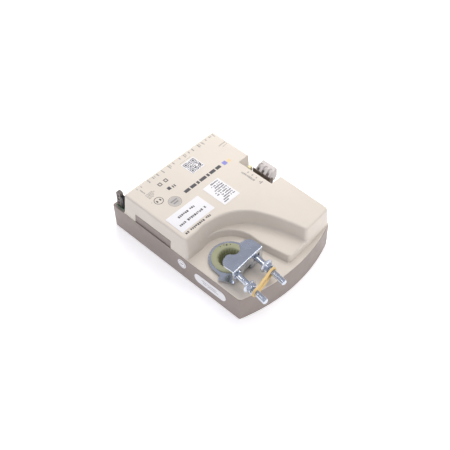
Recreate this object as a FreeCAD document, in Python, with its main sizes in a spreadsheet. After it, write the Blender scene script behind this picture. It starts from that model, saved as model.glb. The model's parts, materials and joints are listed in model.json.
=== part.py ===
import FreeCAD, Part
import math
import os
import Sketcher

# Motorised damper actuator head with a built-in controller board.
# Frame: origin on the hub axis at the back (mounting) face, +Z out of the back face,
# +X along the long side towards the clamp end, +Y across the housing. Millimetres.

os.makedirs("parts", exist_ok=True)
doc = FreeCAD.newDocument("actuator_head")
V = FreeCAD.Vector
sheet = doc.addObject("Spreadsheet::Sheet", "Dims")
D = {}
sheet_row = 1


def dim(alias, value, note):
    """Write one driving dimension into the spreadsheet and keep its value."""
    global sheet_row
    sheet.set("A%d" % sheet_row, alias)
    sheet.set("B%d" % sheet_row, str(value))
    sheet.set("C%d" % sheet_row, note)
    sheet.setAlias("B%d" % sheet_row, alias)
    D[alias] = value
    sheet_row += 1


# ---- housing ---------------------------------------------------------------
dim("tray_x0", -114.5, "terminal end of the housing")
dim("tray_x1", 32.5, "corner where the bowed end starts")
dim("tray_bow", 10.0, "how far the bowed end stands out of the corners")
dim("tray_y0", -24.0, "near long side")
dim("tray_y1", 84.0, "far long side")
dim("tray_height", 25.0, "height of the tray rim")
dim("tray_wall", 2.2, "tray wall thickness")
dim("tray_floor", 2.5, "tray floor thickness")
dim("tab_x0", -85.7, "raised tab in the near wall, start")
dim("tab_length", 41.5, "raised tab length")
dim("tab_rise", 8.1, "raised tab height above the rim")
dim("cover_x0", -100.2, "terminal end of the cover")
dim("cover_height", 21.0, "cover height above the tray rim")
dim("cover_draft", 2.4, "how far the near wall leans in at the top")
dim("terminal_draft", 0.5, "how far the terminal wall leans in at the top")
dim("far_draft", 1.0, "how far the far wall leans in at the top")
dim("end_bow_foot", 4.6, "bow of the clamp end wall at its foot")
dim("end_bow_top", 2.0, "bow of the clamp end wall at the top")
dim("cover_skin", 2.0, "cover wall thickness")
dim("cover_round", 1.8, "rounding of the cover's top edge")
dim("shelf_round", 1.4, "rounding of the shelf's free edges")
dim("crease_x", -19.5, "line where the plateau starts to slope down")
dim("slope_drop", 1.6, "how far the plateau drops in 50 mm")
dim("corner_round", 1.8, "rounding of the upright corners at the terminal end")
dim("clamp_corner_round", 3.5, "rounding of the upright corners at the clamp end")
dim("wall_end_round", 3.0, "rounding where the recess walls run out")
dim("recess_floor", 26.0, "level of the clamp recess floor")
dim("shelf_level", 32.5, "level of the shelf beside the clamp recess")
dim("notch_x0", -56.8, "network notch start")
dim("notch_length", 37.3, "network notch length")
dim("notch_y0", 70.5, "network notch inner wall")
# ---- output ----------------------------------------------------------------
dim("hub_bore", 8.6, "radius of the shaft bore, for shafts up to 17 mm")
dim("hub_journal", 11.0, "radius of the lower hub journal")
dim("hub_collar", 14.55, "radius of the upper hub journal")
dim("hub_stub", 12.8, "radius of the stub that carries the yoke")
dim("hub_lip", 15.2, "radius of the lip that holds the yoke down")
dim("hub_top", 28.3, "top of the hub's bore")
dim("fit_gap", 0.05, "radial running clearance")
dim("rest_yaw", 2.7, "angle of the hub and yoke at rest, degrees")
dim("bolt_yaw", -7.5, "angle of the U-bolt at rest, loose in the yoke, degrees")
dim("bolt_shift", 1.77, "how far the U-bolt's centre line passes from the hub axis")
dim("yoke_plate", 1.5, "yoke sheet thickness")
dim("yoke_low", 26.8, "underside of the yoke ring")
dim("yoke_top", 42.0, "top of the yoke's upper plate")
dim("yoke_front", 18.8, "front face of the yoke wall")
dim("leg_radius", 2.5, "U-bolt rod radius, M5")
dim("leg_half", 11.3, "half the spacing of the U-bolt legs")
dim("leg_level", 35.5, "height of the U-bolt legs")
dim("bend_x", 19.6, "centre of the U-bolt bend at rest")
dim("leg_end", 54.5, "end of the left U-bolt leg")
dim("right_leg_end", 50.0, "end of the right U-bolt leg")
dim("nut_across", 8.0, "hexagon across flats, M5")
dim("nut_flange", 5.9, "flange radius, M5 flange nut")
dim("nut_tall", 5.0, "flange nut height")
dim("nut_left_x", 35.0, "flange face of the left nut")
dim("nut_right_x", 28.0, "flange face of the right nut")
# ---- gear train ------------------------------------------------------------
dim("mod_out", 1.0, "module of the output pair")
dim("mod_mid", 0.8, "module of the middle pair")
dim("mod_fast", 0.6, "module of the motor pair")
dim("gear_low", 6.5, "underside of the output gear")
dim("gear_thick", 6.0, "output gear thickness")
dim("plate_level", 22.0, "underside of the gear plate")
dim("plate_thick", 1.2, "gear plate thickness")
dim("motor_radius", 14.0, "motor can radius")
dim("motor_tall", 9.0, "motor can height")
# ---- board and terminals ---------------------------------------------------
dim("board_level", 18.4, "underside of the circuit board")
dim("board_thick", 1.6, "circuit board thickness")
dim("pole_pitch", 5.08, "terminal pitch")
dim("plug_tall", 12.2, "network plug height")
dim("row_plug_tall", 8.2, "height of the low plugs in the terminal bay")
dim("plug_deep", 9.6, "terminal plug depth")
dim("sticker", 0.2, "thickness of labels and stickers")
doc.recompute()

OUT_TEETH = 60
SLOW_PINION = 12
MID_WHEEL = 45
MID_PINION = 10
FAST_WHEEL = 48
MOTOR_PINION = 10
STAGE_2 = V(0.0, D["mod_out"] * (OUT_TEETH + SLOW_PINION) / 2.0, 0.0)
MID_REACH = D["mod_mid"] * (MID_WHEEL + MID_PINION) / 2.0
MID_LINE = 150.0
STAGE_1 = STAGE_2 + V(MID_REACH * math.cos(math.radians(MID_LINE)),
                      MID_REACH * math.sin(math.radians(MID_LINE)), 0.0)
FAST_REACH = D["mod_fast"] * (FAST_WHEEL + MOTOR_PINION) / 2.0
FAST_LINE = 160.0
MOTOR = STAGE_1 + V(FAST_REACH * math.cos(math.radians(FAST_LINE)),
                    FAST_REACH * math.sin(math.radians(FAST_LINE)), 0.0)
COVER_SCREWS = [(-92.0, -17.0), (-92.0, 77.0), (25.0, 76.5), (27.0, -17.5)]
PLATE_POSTS = [(-20.0, 66.0), (22.0, 50.0), (-42.0, 34.0)]
BOARD_POSTS = [(-96.4, -6.0), (-96.4, 67.0), (-58.0, -14.0), (-58.0, 60.0)]
HEADER_STARTS = [-15.2, 15.4, 46.0]
ROW_POLES = 6
ROW_X = -105.4
ROW_HEADER_TALL = 1.2
NETWORK_HEADER_TALL = 13.2
NETWORK_X = -43.5
NETWORK_Y = 79.7
NETWORK_POLES = 3
exported = []


# ---- helpers ---------------------------------------------------------------
def new_body(name):
    body = doc.addObject("PartDesign::Body", name)
    body.Label = name
    return body


def new_sketch(body, name, level=0.0, role="XY_Plane", level_from=None):
    """Sketch on one of the body's own origin planes, raised by level along its normal."""
    sk = body.newObject("Sketcher::SketchObject", name)
    plane = [o for o in body.Origin.OriginFeatures if o.Role == role][0]
    sk.AttachmentSupport = (plane, "")
    sk.MapMode = "FlatFace"
    sk.AttachmentOffset = FreeCAD.Placement(V(0, 0, level), FreeCAD.Rotation())
    if level_from:
        sk.setExpression("AttachmentOffset.Base.z", level_from)
    return sk


def outline(sk, points):
    """Closed outline; a point given as (x, y, mx, my) is reached by an arc through (mx, my)."""
    first = points[0][:2]
    here = first
    items = []
    for p in list(points[1:]) + [first]:
        a = V(here[0], here[1], 0)
        b = V(p[0], p[1], 0)
        if len(p) == 4:
            items.append(Part.Arc(a, V(p[2], p[3], 0), b))
        else:
            items.append(Part.LineSegment(a, b))
        here = p[:2]
    sk.addGeometry(items, False)


def stadium(sk, x0, x1, y, radius):
    """Obround along the sketch's X axis; x0 and x1 are the centres of its ends."""
    sk.addGeometry([Part.LineSegment(V(x0, y - radius, 0), V(x1, y - radius, 0)),
                    Part.Arc(V(x1, y - radius, 0), V(x1 + radius, y, 0), V(x1, y + radius, 0)),
                    Part.LineSegment(V(x1, y + radius, 0), V(x0, y + radius, 0)),
                    Part.Arc(V(x0, y + radius, 0), V(x0 - radius, y, 0), V(x0, y - radius, 0))], False)


def circle(sk, x, y, radius, from_cell=None):
    index = sk.addGeometry(Part.Circle(V(x, y, 0), V(0, 0, 1), radius), False)
    if from_cell:
        number = sk.addConstraint(Sketcher.Constraint("Radius", index, radius))
        sk.setExpression("Constraints[%d]" % number, from_cell)


def pad(body, sk, length, name, taper=None, down=False):
    """Pad; length is a number or a spreadsheet expression."""
    feature = body.newObject("PartDesign::Pad", name)
    feature.Profile = sk
    if isinstance(length, str):
        feature.setExpression("Length", length)
    else:
        feature.Length = length
    if taper is not None:
        feature.TaperAngle = taper
    feature.Reversed = down
    return feature


def pocket(body, sk, length, name, up=False, taper=None):
    feature = body.newObject("PartDesign::Pocket", name)
    feature.Profile = sk
    if isinstance(length, str):
        feature.setExpression("Length", length)
    else:
        feature.Length = length
    if taper is not None:
        feature.TaperAngle = taper
    feature.Reversed = up
    return feature


def revolve(body, sk, name):
    feature = body.newObject("PartDesign::Revolution", name)
    feature.Profile = sk
    feature.ReferenceAxis = (sk, ["V_Axis"])
    feature.Angle = 360.0
    return feature


def vertical_edge(e):
    return e.BoundBox.XLength < 0.02 and e.BoundBox.YLength < 0.02


def loft(body, shape_of, low, high, inset, name):
    """Ruled solid between one outline at two levels."""
    first = new_sketch(body, name + "_foot", low)
    outline(first, shape_of(low, inset))
    second = new_sketch(body, name + "_head", high)
    outline(second, shape_of(high, inset))
    f = body.newObject("PartDesign::AdditiveLoft", name)
    f.Profile = first
    f.Sections = [second]
    f.Ruled = True
    f.Label = name
    return f


def edge_names(shape, test):
    return ["Edge%d" % (i + 1) for i, e in enumerate(shape.Edges) if test(e)]


def fillet(body, base, radius, test, name, kind="PartDesign::Fillet"):
    doc.recompute()
    feature = body.newObject(kind, name)
    feature.Base = (base, edge_names(base.Shape, test))
    if kind == "PartDesign::Fillet":
        feature.Radius = radius
    else:
        feature.Size = radius
    return feature


def box(name, x0, y0, z0, x1, y1, z1):
    b = doc.addObject("Part::Box", name)
    b.Length = x1 - x0
    b.Width = y1 - y0
    b.Height = z1 - z0
    b.Placement = FreeCAD.Placement(V(x0, y0, z0), FreeCAD.Rotation())
    return b


def cylinder(name, x, y, z0, z1, radius, radius_from=None):
    c = doc.addObject("Part::Cylinder", name)
    c.Radius = radius
    c.Height = z1 - z0
    c.Placement = FreeCAD.Placement(V(x, y, z0), FreeCAD.Rotation())
    if radius_from:
        c.setExpression("Radius", radius_from)
    return c


def fuse(name, items):
    f = doc.addObject("Part::MultiFuse", name)
    f.Shapes = items
    f.Label = name
    return f


def group(name, items):
    g = doc.addObject("Part::Compound", name)
    g.Links = items
    g.Label = name
    return g


def cut(name, base, tool):
    c = doc.addObject("Part::Cut", name)
    c.Base = base
    c.Tool = tool
    c.Label = name
    return c


def place(obj, x, y, z, yaw=0.0):
    obj.Placement = FreeCAD.Placement(V(x, y, z), FreeCAD.Rotation(V(0, 0, 1), yaw))


def keep(obj, name):
    obj.Label = name
    exported.append((name, obj))


def vertical(e):
    a, b = e.Vertexes[0].Point, e.Vertexes[-1].Point
    return abs(a.x - b.x) < 1e-6 and abs(a.y - b.y) < 1e-6 and abs(a.z - b.z) > 1.0



# ---- housing: tray ---------------------------------------------------------
def housing_outline(x0, inset):
    """Outline with three straight sides and the bowed end, all moved in by inset."""
    x1 = D["tray_x1"]
    y0 = D["tray_y0"] + inset
    y1 = D["tray_y1"] - inset
    bow = x1 + D["tray_bow"] - inset
    mid = (y0 + y1) / 2.0
    return [(x0, y0), (x1 - inset * 0.8, y0), (x1 - inset * 0.8, y1, bow, mid), (x0, y1)]


def make_tray():
    body = new_body("base_shell")
    sk = new_sketch(body, "tray_outline")
    outline(sk, housing_outline(D["tray_x0"], 0.0))
    shell = pad(body, sk, "Dims.tray_height", "tray_block")
    shell = fillet(body, shell, 1.8, vertical, "tray_corners")
    doc.recompute()
    shell = fillet(body, shell, 0.8,
                   lambda e: abs(e.BoundBox.ZMax) < 1e-6, "tray_foot", "PartDesign::Chamfer")
    sk = new_sketch(body, "tray_inside", D["tray_floor"], level_from="Dims.tray_floor")
    outline(sk, housing_outline(D["tray_x0"] + D["tray_wall"], D["tray_wall"]))
    pocket(body, sk, 40.0, "tray_hollow", up=True)
    sk = new_sketch(body, "tab_outline", D["tray_height"] - 8.0)
    x0 = D["tab_x0"]
    x1 = x0 + D["tab_length"]
    outline(sk, [(x0, -23.0), (x1, -23.0), (x1, -21.8), (x0, -21.8)])
    pad(body, sk, "Dims.tab_rise + 8", "raised_tab")
    # bosses that stand on the floor
    sk = new_sketch(body, "post_circles", 0.5)
    for x, y in PLATE_POSTS:
        circle(sk, x, y, 3.2)
    pad(body, sk, "Dims.plate_level - 0.5", "plate_posts")
    sk = new_sketch(body, "board_post_circles", 0.5)
    for x, y in BOARD_POSTS:
        circle(sk, x, y, 3.0)
    pad(body, sk, "Dims.board_level - 0.5", "board_posts")
    sk = new_sketch(body, "screw_post_circles", 0.5)
    for x, y in COVER_SCREWS:
        circle(sk, x, y, 4.6)
    pad(body, sk, 14.5, "screw_posts")
    sk = new_sketch(body, "axle_boss_circles", 0.5)
    circle(sk, STAGE_1.x, STAGE_1.y, 3.2)
    circle(sk, STAGE_2.x, STAGE_2.y, 3.6)
    pad(body, sk, 3.5, "axle_bosses")
    sk = new_sketch(body, "bearing_ring", 0.5)
    circle(sk, 0, 0, 14.0)
    pad(body, sk, 5.2, "hub_bearing")
    sk = new_sketch(body, "key_boss_outline", 0.5)
    outline(sk, [(-106.0, 23.0), (-88.0, 23.0), (-88.0, 37.0), (-106.0, 37.0)])
    pad(body, sk, 8.0, "key_boss")
    # end stops for the output gear
    sk = new_sketch(body, "stop_outlines", 0.5)
    for azimuth in (202.0, -22.0):
        c, s = math.cos(math.radians(azimuth)), math.sin(math.radians(azimuth))
        corners = [(19.0, -1.6), (27.0, -1.6), (27.0, 1.6), (19.0, 1.6)]
        outline(sk, [(c * u - s * v, s * u + c * v) for u, v in corners])
    pad(body, sk, 11.5, "end_stops")
    # holes from the back
    sk = new_sketch(body, "hub_hole", -1.0)
    circle(sk, 0, 0, D["hub_journal"] + D["fit_gap"], "Dims.hub_journal + Dims.fit_gap")
    pocket(body, sk, 12.0, "hub_bearing_bore", up=True)
    sk = new_sketch(body, "screw_holes", -1.0)
    for x, y in COVER_SCREWS:
        circle(sk, x, y, 1.7)
    pocket(body, sk, 30.0, "screw_clearance", up=True)
    sk = new_sketch(body, "screw_heads", 0.0)
    for x, y in COVER_SCREWS:
        circle(sk, x, y, 3.3)
    pocket(body, sk, 2.6, "screw_sinks", up=True)
    sk = new_sketch(body, "slot_outline", 0.0)
    stadium(sk, -101.0, -93.0, 30.0, 2.6)
    pocket(body, sk, 6.0, "key_slot", up=True)
    # holes from above
    sk = new_sketch(body, "axle_hole_1", 1.0)
    circle(sk, STAGE_1.x, STAGE_1.y, 1.52)
    circle(sk, STAGE_2.x, STAGE_2.y, 2.02)
    pocket(body, sk, 10.0, "axle_holes", up=True)
    sk = new_sketch(body, "post_pilots", 14.0)
    for x, y in PLATE_POSTS:
        circle(sk, x, y, 1.25)
    for x, y in BOARD_POSTS:
        circle(sk, x, y, 1.25)
    pocket(body, sk, 20.0, "post_holes", up=True)
    doc.recompute()
    keep(body, "base_shell")


# ---- housing: cover --------------------------------------------------------
def cover_outline(level, inset):
    """Outline of the cover's walls at a level. The end wall stands back from the tray's bow."""
    share = (level - D["tray_height"]) / D["cover_height"]
    x0 = D["cover_x0"] + inset + share * D["terminal_draft"]
    x1 = D["tray_x1"] - 0.2 - 0.8 * inset - share * 0.9
    y0 = D["tray_y0"] + 0.25 + inset + share * D["cover_draft"]
    y1 = D["tray_y1"] - 0.25 - inset - share * D["far_draft"]
    bow = D["end_bow_foot"] + share * (D["end_bow_top"] - D["end_bow_foot"]) - 0.2 * inset
    return [(x0, y0), (x1, y0), (x1, y1, x1 + bow, (y0 + y1) / 2.0), (x0, y1)]


def recess_low(grow):
    """Clamp recess at the top of its wall: beside the hub, open to two sides."""
    x0 = -28.2 - grow
    r = 29.2 + grow
    return [(x0, -40.0), (x0, -7.6),
            (0.0, r, -r * math.cos(math.radians(38)), r * math.sin(math.radians(38))),
            (8.0, r - 0.2), (75.0, 40.4 + grow), (75.0, -40.0)]


def recess_high(grow):
    """Wider opening of the plateau above the shelf."""
    g = grow
    return [(-28.0 - g, -4.0), (-9.5 - g * 0.5, 38.6 + g, -23.6 - g, 22.6 + g * 0.6),
            (48.0, 55.0 + g, 16.0, 49.2 + g), (75.0, 58.0 + g), (75.0, -4.0)]


def make_cover():
    top = D["tray_height"] + D["cover_height"]
    outer = new_body("cover_outer")
    shell = loft(outer, cover_outline, D["tray_height"], top, 0.0, "cover_block")
    doc.recompute()
    sk = new_sketch(outer, "slope_outline", 60.0, "XZ_Plane")
    outline(sk, [(D["crease_x"], top), (60.0, top - D["slope_drop"] * (60.0 - D["crease_x"]) / 50.0),
                 (60.0, top + 5.0), (D["crease_x"], top + 5.0)])
    slope = pocket(outer, sk, 300.0, "slope_cut", up=False)
    doc.recompute()
    corners = fillet(outer, slope, D["corner_round"],
                     lambda e: e.BoundBox.ZLength > 15.0 and e.BoundBox.XMax < 0.0, "terminal_corners")
    doc.recompute()
    corners = fillet(outer, corners, D["clamp_corner_round"],
                     lambda e: e.BoundBox.ZLength > 15.0 and e.BoundBox.XMax > 0.0, "clamp_corners")
    doc.recompute()
    sk = new_sketch(outer, "flange_outline", D["tray_height"], level_from="Dims.tray_height")
    outline(sk, housing_outline(D["cover_x0"], 0.25))
    flange = pad(outer, sk, D["recess_floor"] - D["tray_height"], "cover_flange")
    doc.recompute()
    fillet(outer, flange, D["clamp_corner_round"],
           lambda e: vertical_edge(e) and e.BoundBox.ZLength < 1.2 and e.BoundBox.YMax < 0.0 and
           e.BoundBox.XMin > 0.0, "flange_corner")
    doc.recompute()
    sk = new_sketch(outer, "recess_low_outline", top)
    outline(sk, recess_low(0.0))
    depth = top - D["recess_floor"]
    pocket(outer, sk, depth, "recess_low_cut", taper=-12.0)
    sk = new_sketch(outer, "recess_high_outline", top)
    outline(sk, recess_high(0.0))
    pocket(outer, sk, top - D["shelf_level"], "recess_high_cut", taper=-9.0)
    sk = new_sketch(outer, "notch_outline", top)
    x0 = D["notch_x0"]
    x1 = x0 + D["notch_length"]
    outline(sk, [(x0, D["notch_y0"]), (x1, D["notch_y0"]), (x1, 95.0), (x0, 95.0)])
    pocket(outer, sk, 30.0, "notch_cut", taper=-0.6)
    sk = new_sketch(outer, "tab_opening", D["tray_height"] - 1.0)
    t0 = D["tab_x0"] - 0.3
    t1 = t0 + D["tab_length"] + 0.6
    outline(sk, [(t0, -30.0), (t1, -30.0), (t1, -20.9), (t0, -20.9)])
    pocket(outer, sk, D["tab_rise"] + 1.2, "tab_gap", up=True)
    sk = new_sketch(outer, "hub_opening", D["tray_height"] - 1.0)
    circle(sk, 0, 0, D["hub_collar"] + D["fit_gap"], "Dims.hub_collar + Dims.fit_gap")
    pocket(outer, sk, 20.0, "hub_opening_cut", up=True)
    doc.recompute()
    def wall_end(e):
        room = e.BoundBox
        upright = room.ZLength > 5.0 and room.XLength < 6.0 and room.YLength < 6.0
        near_side = room.XMin > -32.0 and room.XMax < -20.0 and room.YMax < -15.0
        end_wall = room.XMin > 26.0 and room.YMin > 15.0 and room.YMax < 60.0
        return upright and (near_side or end_wall)

    def top_edge(e):
        room = e.BoundBox
        crease = room.XLength < 0.01 and abs(room.XMin - D["crease_x"]) < 0.1
        notch = room.YMin > D["notch_y0"] - 0.3 and room.XMin > x0 - 0.5 and room.XMax < x1 + 0.5
        return room.ZMin > top - 3.0 and room.ZLength < 2.5 and not crease and not notch

    def shelf_edge(e):
        room = e.BoundBox
        level = abs(room.ZMin - D["shelf_level"]) < 0.01 and room.ZLength < 0.01
        return level and (room.YMax < 31.5 or room.XMin > 30.0)

    fillet(outer, outer.Tip, D["wall_end_round"], wall_end, "wall_end_rounds")
    doc.recompute()
    fillet(outer, outer.Tip, D["cover_round"], top_edge, "cover_top_round")
    doc.recompute()
    fillet(outer, outer.Tip, D["shelf_round"], shelf_edge, "shelf_round")
    doc.recompute()

    skin = D["cover_skin"]
    core = new_body("cover_core")
    loft(core, cover_outline, D["tray_height"] - 5.0, top - skin, skin, "core_block")
    sk = new_sketch(core, "core_slope_outline", 60.0, "XZ_Plane")
    outline(sk, [(D["crease_x"], top - skin),
                 (60.0, top - skin - D["slope_drop"] * (60.0 - D["crease_x"]) / 50.0),
                 (60.0, top + 5.0), (D["crease_x"], top + 5.0)])
    pocket(core, sk, 300.0, "core_slope_cut", up=False)
    sk = new_sketch(core, "core_recess_low", top)
    outline(sk, recess_low(skin))
    pocket(core, sk, 30.0, "core_recess_low_cut", taper=-9.0)
    sk = new_sketch(core, "core_recess_high", top)
    outline(sk, recess_high(skin))
    pocket(core, sk, top - D["shelf_level"] + 1.8, "core_recess_high_cut", taper=-9.0)
    sk = new_sketch(core, "core_notch", top)
    outline(sk, [(x0 - skin, D["notch_y0"] - skin), (x1 + skin, D["notch_y0"] - skin),
                 (x1 + skin, 95.0), (x0 - skin, 95.0)])
    pocket(core, sk, 30.0, "core_notch_cut")
    hollow = cut("cover_hollow", outer, core)
    bosses = []
    for i, (x, y) in enumerate(COVER_SCREWS):
        roof = top - 1.0
        if x > 0:
            roof = D["recess_floor"] - 0.5 if y < 0 else top - 2.8
        bosses.append(cylinder("cover_boss_%d" % (i + 1), x, y, 15.0, roof, 3.6))
    solid = fuse("cover_with_bosses", [hollow] + bosses)
    pilots = []
    for i, (x, y) in enumerate(COVER_SCREWS):
        pilots.append(cylinder("cover_pilot_%d" % (i + 1), x, y, 14.0, 24.2, 1.5))
    cover = cut("top_cover", solid, fuse("cover_pilots", pilots))
    keep(cover, "top_cover")


# ---- gears -----------------------------------------------------------------
def tooth_outline(module, teeth, shrink):
    """One straight-sided approximation of an involute tooth, centred on +X."""
    pitch = module * teeth / 2.0
    tip = pitch + module * 0.95
    root = pitch - module * 1.25
    base = pitch * math.cos(math.radians(20.0))
    half = math.pi * module / 4.0 - shrink
    points = []
    for r in (root - 0.15 * module, max(base, root), (base + pitch) / 2.0, pitch,
              (pitch + tip) / 2.0, tip):
        rr = max(r, base)
        angle = math.acos(base / rr)
        at_pitch = math.radians(20.0)
        inv = math.tan(angle) - angle
        inv_pitch = math.tan(at_pitch) - at_pitch
        turn = half / pitch + inv_pitch - inv
        points.append((r * math.cos(turn), r * math.sin(turn)))
    lower = [(x, -y) for x, y in points]
    return lower + points[::-1]


def add_teeth(body, module, teeth, low, tall, name, count=None, start=0.0, span=360.0, shrink=0.11):
    """Root disc teeth made as one padded tooth and a polar pattern about Z."""
    sk = new_sketch(body, name + "_tooth", low)
    points = tooth_outline(module, teeth, shrink)
    c, s = math.cos(math.radians(start)), math.sin(math.radians(start))
    outline(sk, [(c * x - s * y, s * x + c * y) for x, y in points])
    one = pad(body, sk, tall, name + "_one")
    ring = body.newObject("PartDesign::PolarPattern", name + "_ring")
    axis = [o for o in body.Origin.OriginFeatures if o.Role == "Z_Axis"][0]
    ring.Axis = (axis, [""])
    ring.Originals = [one]
    ring.Angle = span
    ring.Occurrences = count or teeth
    body.Tip = ring
    return ring


def disc(body, radius, low, tall, name, bore=None):
    sk = new_sketch(body, name + "_circle", low)
    circle(sk, 0, 0, radius)
    if bore:
        circle(sk, 0, 0, bore)
    return pad(body, sk, tall, name)


def mesh_turn(n1, turn1, n2, line):
    """Turn of the second gear so that it meshes with the first; line runs from 1 to 2."""
    return line + 180.0 - (180.0 - n1 * (line - turn1)) / n2


SECTOR_FIRST = 78.0
SECTOR_TEETH = 19
SLOW_TURN = mesh_turn(OUT_TEETH, SECTOR_FIRST, SLOW_PINION, 90.0)
FAST_TURN = mesh_turn(MID_WHEEL, SLOW_TURN, MID_PINION, MID_LINE)
MOTOR_TURN = mesh_turn(FAST_WHEEL, FAST_TURN, MOTOR_PINION, FAST_LINE)


def make_output_gear():
    body = new_body("output_gear")
    root = D["mod_out"] * (OUT_TEETH / 2.0 - 1.25)
    sk = new_sketch(body, "sector_outline", D["gear_low"], level_from="Dims.gear_low")
    a0 = math.radians(SECTOR_FIRST - 4.0)
    a1 = math.radians(SECTOR_FIRST + 6.0 * (SECTOR_TEETH - 1) + 4.0)
    am = (a0 + a1) / 2.0
    outline(sk, [(9.0 * math.cos(a0), 9.0 * math.sin(a0)),
                 (root * math.cos(a0), root * math.sin(a0)),
                 (root * math.cos(a1), root * math.sin(a1), root * math.cos(am), root * math.sin(am)),
                 (9.0 * math.cos(a1), 9.0 * math.sin(a1))])
    pad(body, sk, "Dims.gear_thick", "sector")
    disc(body, 17.0, D["gear_low"], D["gear_thick"], "gear_hub")
    add_teeth(body, D["mod_out"], OUT_TEETH, D["gear_low"], D["gear_thick"], "output",
              SECTOR_TEETH, SECTOR_FIRST, 6.0 * (SECTOR_TEETH - 1))
    sk = new_sketch(body, "gear_bore", D["gear_low"] - 1.0)
    circle(sk, 0, 0, 12.25)
    pocket(body, sk, 20.0, "gear_bore_cut", up=True)
    sk = new_sketch(body, "web_pockets", D["gear_low"] + D["gear_thick"] + 1.0)
    for azimuth in (100.0, 132.0, 164.0):
        c, s = math.cos(math.radians(azimuth)), math.sin(math.radians(azimuth))
        circle(sk, 22.4 * c, 22.4 * s, 3.4)
    pocket(body, sk, 5.0, "web_pockets_cut")
    keep(body, "output_gear")


def make_compound(name, bore, sleeve, low, high, discs, teeth, centre, turn):
    """Compound gear: sleeve plus toothed discs; all on one axle."""
    body = new_body(name)
    sk = new_sketch(body, name + "_sleeve", low)
    circle(sk, 0, 0, sleeve)
    pad(body, sk, high - low, name + "_tube")
    for i, (module, count, z0, tall) in enumerate(teeth):
        root = module * (count / 2.0 - 1.25)
        disc(body, root, z0, tall, "%s_disc_%d" % (name, i + 1))
        add_teeth(body, module, count, z0, tall, "%s_%d" % (name, i + 1))
    for i, (radius, z0, tall) in enumerate(discs):
        disc(body, radius, z0, tall, "%s_step_%d" % (name, i + 1))
    sk = new_sketch(body, name + "_bore", low - 1.0)
    circle(sk, 0, 0, bore)
    pocket(body, sk, high - low + 2.0, name + "_bore_cut", up=True)
    place(body, centre.x, centre.y, 0.0, turn)
    keep(body, name)


def make_gear_train():
    make_output_gear()
    make_compound("gear_stage_2", 2.0 + D["fit_gap"], 3.4, 4.2, 21.8, [],
                  [(D["mod_out"], SLOW_PINION, 6.0, 7.5),
                   (D["mod_mid"], MID_WHEEL, 13.5, 3.0)], STAGE_2, SLOW_TURN)
    make_compound("gear_stage_1", 1.5 + D["fit_gap"], 2.6, 4.2, 21.8, [],
                  [(D["mod_mid"], MID_PINION, 12.8, 5.7),
                   (D["mod_fast"], FAST_WHEEL, 18.5, 2.5)], STAGE_1, FAST_TURN)
    make_compound("motor_pinion", 1.0, 1.8, 17.6, 21.6, [],
                  [(D["mod_fast"], MOTOR_PINION, 18.0, 3.4)], MOTOR, MOTOR_TURN)
    axles = group("gear_axles", [
        cylinder("axle_1", STAGE_1.x, STAGE_1.y, 1.0, 23.2, 1.5),
        cylinder("axle_2", STAGE_2.x, STAGE_2.y, 1.0, 23.2, 2.0)])
    keep(axles, "gear_axles")
    plate = new_body("gear_plate")
    sk = new_sketch(plate, "plate_outline", D["plate_level"], level_from="Dims.plate_level")
    outline(sk, [(-46.0, 30.0), (2.0, 30.0), (26.0, 46.0), (26.0, 54.0), (-16.0, 70.0),
                 (-26.0, 70.0), (-46.0, 58.0)])
    for x, y in PLATE_POSTS:
        circle(sk, x, y, 1.4)
    circle(sk, STAGE_1.x, STAGE_1.y, 1.52)
    circle(sk, STAGE_2.x, STAGE_2.y, 2.02)
    circle(sk, MOTOR.x, MOTOR.y, 1.0 + D["fit_gap"])
    sheet_pad = pad(plate, sk, "Dims.plate_thick", "plate_sheet")
    fillet(plate, sheet_pad, 2.5,
           lambda e: vertical(e) and len(e.Vertexes) == 2, "plate_corners")
    keep(plate, "gear_plate")
    screws = []
    for i, (x, y) in enumerate(PLATE_POSTS):
        shank = cylinder("plate_screw_shank_%d" % i, x, y, 15.0, 23.2, 1.25)
        head = cylinder("plate_screw_head_%d" % i, x, y, 23.2, 24.3, 2.3)
        screws.append(fuse("plate_screw_%d" % i, [shank, head]))
    keep(group("gear_plate_screws", screws), "gear_plate_screws")


def make_motor():
    low = D["tray_floor"]
    body = new_body("motor_body")
    sk = new_sketch(body, "can_profile", 0.0, "XZ_Plane")
    r = D["motor_radius"]
    high = low + D["motor_tall"]
    outline(sk, [(0.0, low), (r, low), (r, high - 1.0), (r - 1.0, high), (5.0, high), (5.0, high + 0.8),
                 (1.05, high + 0.8), (1.05, high - 1.2), (9.6, high - 1.2), (9.6, low + 1.2),
                 (1.05, low + 1.2), (1.05, low + 0.6), (0.0, low + 0.6)])
    revolve(body, sk, "can")
    place(body, MOTOR.x, MOTOR.y, 0.0)
    keep(body, "motor_body")
    body = new_body("motor_rotor")
    sk = new_sketch(body, "rotor_profile", 0.0, "XZ_Plane")
    outline(sk, [(0.0, low + 0.8), (1.0, low + 0.8), (1.0, low + 1.6), (9.3, low + 1.6),
                 (9.3, high - 1.6), (1.0, high - 1.6), (1.0, 23.0), (0.0, 23.0)])
    revolve(body, sk, "rotor")
    place(body, MOTOR.x, MOTOR.y, 0.0)
    keep(body, "motor_rotor")


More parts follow.
